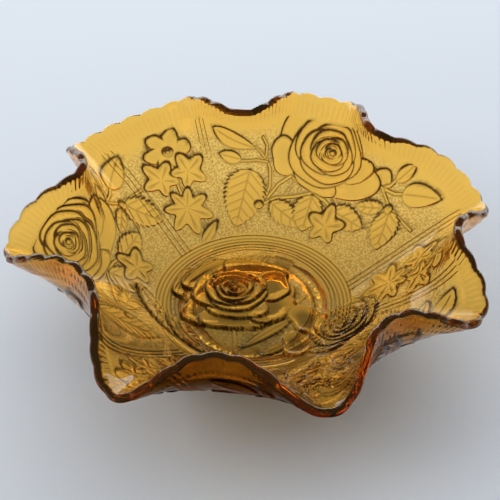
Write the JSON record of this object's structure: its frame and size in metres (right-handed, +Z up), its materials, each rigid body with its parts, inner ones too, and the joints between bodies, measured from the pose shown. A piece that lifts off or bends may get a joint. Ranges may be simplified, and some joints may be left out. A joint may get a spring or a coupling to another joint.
{
  "type": "candy dish",
  "caption": "Round shallow pressed-glass dish with a flared, ruffled and scalloped rim on a low collar foot, for sweets or small items.",
  "frame": {"origin": "on the table that the foot rests on, under the middle of the dish's overall width and depth; the foot's own axis is 3.3 mm towards +X and 2.2 mm towards +Y of it, because the ruffles are uneven", "axes": "+Z up out of the dish's mouth; +X along the dish's widest extent; -Y towards the side that a person faces"},
  "size_m": [0.2192, 0.2068, 0.0679],
  "materials": {
    "amber_glass": "clear amber pressed glass, fire-polished, with a faint lustre"
  },
  "bodies": {
    "root": {"glass_dish": "amber_glass"}
  },
  "joints": []
}
